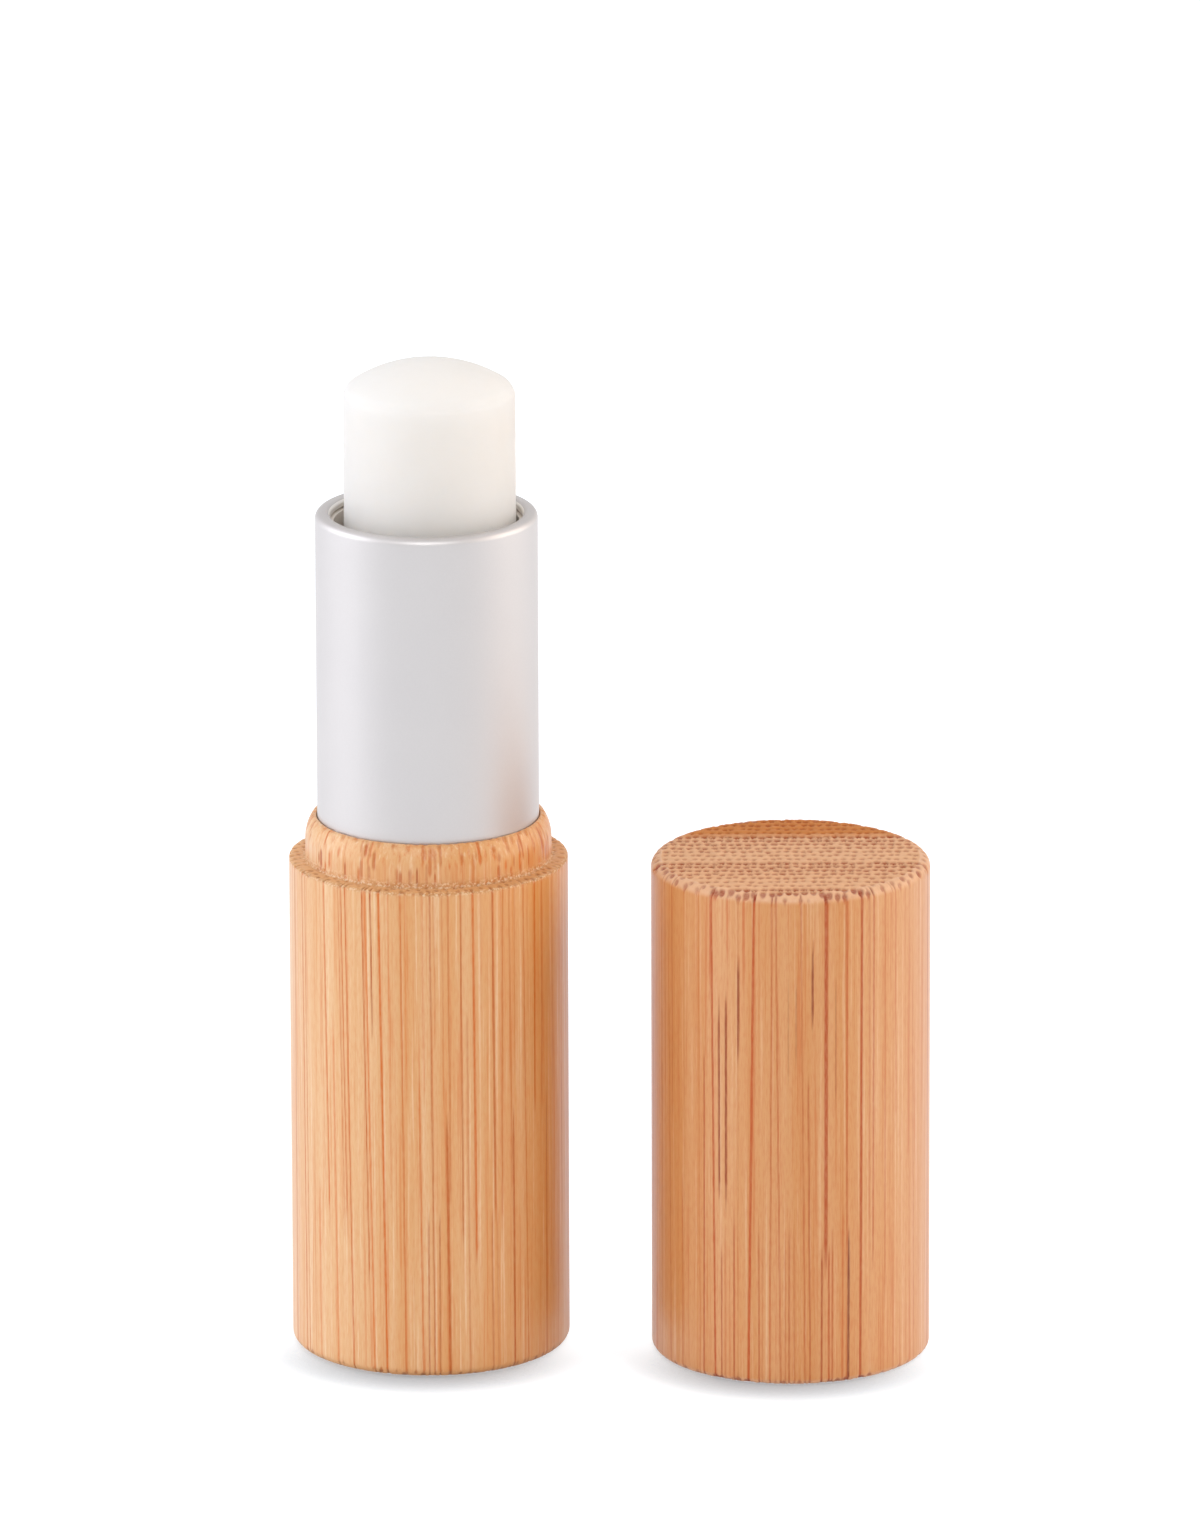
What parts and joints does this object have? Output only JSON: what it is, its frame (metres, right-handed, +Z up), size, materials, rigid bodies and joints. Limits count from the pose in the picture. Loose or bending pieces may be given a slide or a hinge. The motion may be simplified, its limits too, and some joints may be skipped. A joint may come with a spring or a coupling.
{
  "type": "lip balm stick",
  "caption": "Twist-up lip balm stick with a turned bamboo base, a satin metal sleeve, a domed wax bullet and a matching bamboo cap that stands beside it.",
  "frame": {"origin": "centre of the base's flat foot, on the stick's axis", "axes": "+Z up along the stick towards the balm, +X from the stick towards the cap that stands beside it, -Y towards the viewer"},
  "size_m": [0.0459, 0.022, 0.0728],
  "materials": {
    "bamboo": "turned bamboo, sanded and thinly sealed",
    "satin_aluminium": "satin anodised",
    "wax": "soft satin wax",
    "natural_plastic": "moulded, uncoloured",
    "silicone": "greased"
  },
  "bodies": {
    "base": {"bamboo_base": "bamboo", "base_insert": "natural_plastic", "guide_tube": "natural_plastic", "brake_ring": "silicone"},
    "sleeve": {"metal_sleeve": "satin_aluminium", "spiral_tube": "natural_plastic"},
    "carrier": {"balm_cup": "natural_plastic", "balm": "wax"},
    "cap": {"bamboo_cap": "bamboo", "cap_liner": "natural_plastic"}
  },
  "joints": [
    {"name": "twist", "type": "hinge", "parent": "base", "child": "sleeve", "pos_m": [0, 0, 0.03935], "axis": [0, 0, -1], "range_deg": [-236, 264]},
    {"name": "balm_lift", "type": "slide", "parent": "base", "child": "carrier", "axis": [0, 0, 1], "range_m": [-0.01181, 0.01321]},
    {"name": "cap_lift", "type": "slide", "parent": "base", "child": "cap", "axis": [0, 0, 1], "range_m": [0, 0.09]}
  ],
  "couplings": [
    {"joint": "balm_lift", "follows": "twist", "m_per_rad": 0.0028648}
  ]
}
